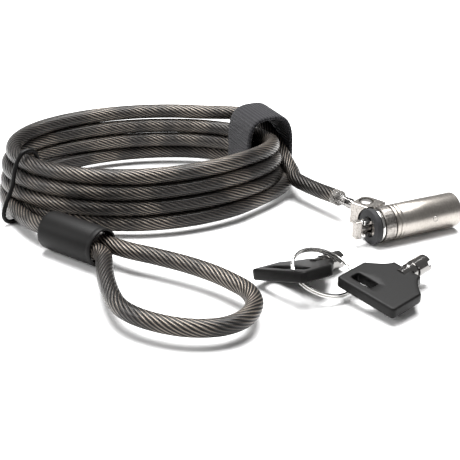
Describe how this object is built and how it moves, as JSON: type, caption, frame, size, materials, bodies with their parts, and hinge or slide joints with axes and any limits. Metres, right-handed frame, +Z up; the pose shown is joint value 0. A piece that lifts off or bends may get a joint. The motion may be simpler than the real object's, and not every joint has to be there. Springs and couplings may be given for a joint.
{
  "type": "laptop cable lock",
  "caption": "Coiled steel security cable with a closed end loop, a swivelling tubular key lock for a laptop's security slot, and keys on a split ring.",
  "frame": {"origin": "on the table, under the middle of the box round the lock and its keys, cable left out", "axes": "+Z up from the table, -Y towards the keys and the cable's end loop, +X along the table from the coil to the lock"},
  "size_m": [0.1726, 0.1608, 0.0273],
  "materials": {
    "cable": "glossy smoke-grey sheath over a steel rope",
    "moulding": "satin black moulding",
    "webbing": "woven hook-and-loop webbing",
    "tie": "black coated wire",
    "clear_sleeve": "clear shrink tube",
    "nickel": "satin nickel plate",
    "chrome": "bright chrome",
    "steel": "plain steel",
    "brass": "turned brass",
    "rubber": "matt black rubber"
  },
  "bodies": {
    "cable": {"cable_coil": "cable", "cable_tail": "cable", "cable_lead": "cable", "cable_loop": "cable", "loop_sleeve": "moulding", "loop_crimp": "steel", "storage_strap": "webbing", "twist_tie": "tie", "cable_eye": "steel", "clear_end_sleeve": "clear_sleeve"},
    "collar": {"swivel_collar": "nickel", "clevis_rivet": "steel"},
    "lock_body": {"barrel_shell": "nickel", "front_housing": "nickel", "retaining_ring": "chrome", "rubber_pad": "rubber", "guide_post_upper": "chrome", "guide_post_lower": "chrome", "lock_core": "brass", "keyway_bezel": "chrome", "barrel_pin": "steel", "pin_spring_1": "steel", "pin_spring_2": "steel", "pin_spring_3": "steel", "pin_spring_4": "steel", "pin_spring_5": "steel", "pin_spring_6": "steel", "pin_spring_7": "steel"},
    "plug": {"lock_plug": "brass", "locking_bar": "nickel"},
    "key_pin_1": {"key_pin_1": "brass"},
    "driver_pin_1": {"driver_pin_1": "steel"},
    "key_pin_2": {"key_pin_2": "brass"},
    "driver_pin_2": {"driver_pin_2": "steel"},
    "key_pin_3": {"key_pin_3": "brass"},
    "driver_pin_3": {"driver_pin_3": "steel"},
    "key_pin_4": {"key_pin_4": "brass"},
    "driver_pin_4": {"driver_pin_4": "steel"},
    "key_pin_5": {"key_pin_5": "brass"},
    "driver_pin_5": {"driver_pin_5": "steel"},
    "key_pin_6": {"key_pin_6": "brass"},
    "driver_pin_6": {"driver_pin_6": "steel"},
    "key_pin_7": {"key_pin_7": "brass"},
    "driver_pin_7": {"driver_pin_7": "steel"},
    "key_ring": {"split_ring": "chrome"},
    "key_a": {"key_a_bow": "moulding", "key_a_tube": "chrome"},
    "key_b": {"key_b_bow": "moulding", "key_b_tube": "chrome"}
  },
  "joints": [
    {"name": "collar_swivel", "type": "hinge", "parent": "cable", "child": "collar", "pos_m": [0.00316, 0.0269, 0.0064], "axis": [0, 0, 1], "range_deg": [-25, 25]},
    {"name": "lock_turn", "type": "hinge", "parent": "collar", "child": "lock_body", "pos_m": [0.00306, 0.0174, 0.0064], "axis": [0.9063, 0.4226, 0], "continuous": true},
    {"name": "plug_turn", "type": "hinge", "parent": "lock_body", "child": "plug", "pos_m": [0.00306, 0.0174, 0.0064], "axis": [0.9063, 0.4226, 0], "range_deg": [0, 90]},
    {"name": "key_pin_1_slide", "type": "slide", "parent": "plug", "child": "key_pin_1", "axis": [-0.9063, -0.4226, 0], "range_m": [0, 0.0015], "stiffness_N_per_m": 20, "springref_m": -0.002},
    {"name": "key_pin_2_slide", "type": "slide", "parent": "plug", "child": "key_pin_2", "axis": [-0.9063, -0.4226, 0], "range_m": [0, 0.0015], "stiffness_N_per_m": 20, "springref_m": -0.002},
    {"name": "key_pin_3_slide", "type": "slide", "parent": "plug", "child": "key_pin_3", "axis": [-0.9063, -0.4226, 0], "range_m": [0, 0.0015], "stiffness_N_per_m": 20, "springref_m": -0.002},
    {"name": "key_pin_4_slide", "type": "slide", "parent": "plug", "child": "key_pin_4", "axis": [-0.9063, -0.4226, 0], "range_m": [0, 0.0015], "stiffness_N_per_m": 20, "springref_m": -0.002},
    {"name": "key_pin_5_slide", "type": "slide", "parent": "plug", "child": "key_pin_5", "axis": [-0.9063, -0.4226, 0], "range_m": [0, 0.0015], "stiffness_N_per_m": 20, "springref_m": -0.002},
    {"name": "key_pin_6_slide", "type": "slide", "parent": "plug", "child": "key_pin_6", "axis": [-0.9063, -0.4226, 0], "range_m": [0, 0.0015], "stiffness_N_per_m": 20, "springref_m": -0.002},
    {"name": "key_pin_7_slide", "type": "slide", "parent": "plug", "child": "key_pin_7", "axis": [-0.9063, -0.4226, 0], "range_m": [0, 0.0015], "stiffness_N_per_m": 20, "springref_m": -0.002},
    {"name": "driver_pin_1_slide", "type": "slide", "parent": "lock_body", "child": "driver_pin_1", "axis": [-0.9063, -0.4226, 0], "range_m": [0, 0.0008], "stiffness_N_per_m": 20, "springref_m": -0.002, "deforming": ["pin_spring_1"]},
    {"name": "driver_pin_2_slide", "type": "slide", "parent": "lock_body", "child": "driver_pin_2", "axis": [-0.9063, -0.4226, 0], "range_m": [0, 0.0008], "stiffness_N_per_m": 20, "springref_m": -0.002, "deforming": ["pin_spring_2"]},
    {"name": "driver_pin_3_slide", "type": "slide", "parent": "lock_body", "child": "driver_pin_3", "axis": [-0.9063, -0.4226, 0], "range_m": [0, 0.0008], "stiffness_N_per_m": 20, "springref_m": -0.002, "deforming": ["pin_spring_3"]},
    {"name": "driver_pin_4_slide", "type": "slide", "parent": "lock_body", "child": "driver_pin_4", "axis": [-0.9063, -0.4226, 0], "range_m": [0, 0.0008], "stiffness_N_per_m": 20, "springref_m": -0.002, "deforming": ["pin_spring_4"]},
    {"name": "driver_pin_5_slide", "type": "slide", "parent": "lock_body", "child": "driver_pin_5", "axis": [-0.9063, -0.4226, 0], "range_m": [0, 0.0008], "stiffness_N_per_m": 20, "springref_m": -0.002, "deforming": ["pin_spring_5"]},
    {"name": "driver_pin_6_slide", "type": "slide", "parent": "lock_body", "child": "driver_pin_6", "axis": [-0.9063, -0.4226, 0], "range_m": [0, 0.0008], "stiffness_N_per_m": 20, "springref_m": -0.002, "deforming": ["pin_spring_6"]},
    {"name": "driver_pin_7_slide", "type": "slide", "parent": "lock_body", "child": "driver_pin_7", "axis": [-0.9063, -0.4226, 0], "range_m": [0, 0.0008], "stiffness_N_per_m": 20, "springref_m": -0.002, "deforming": ["pin_spring_7"]},
    {"name": "ring_lift", "type": "slide", "parent": "cable", "child": "key_ring", "axis": [0, 0, 1], "range_m": [0, 0.03]},
    {"name": "key_a_swing", "type": "hinge", "parent": "key_ring", "child": "key_a", "pos_m": [-0.02684, -0.0173, 0.00685], "axis": [-0.6789, 0.6645, -0.3122], "range_deg": [0, 8]},
    {"name": "key_b_swing", "type": "hinge", "parent": "key_ring", "child": "key_b", "pos_m": [-0.00029, -0.02665, 0.00545], "axis": [-0.6678, 0.7388, 0.0905], "range_deg": [-6, 1.5]}
  ]
}
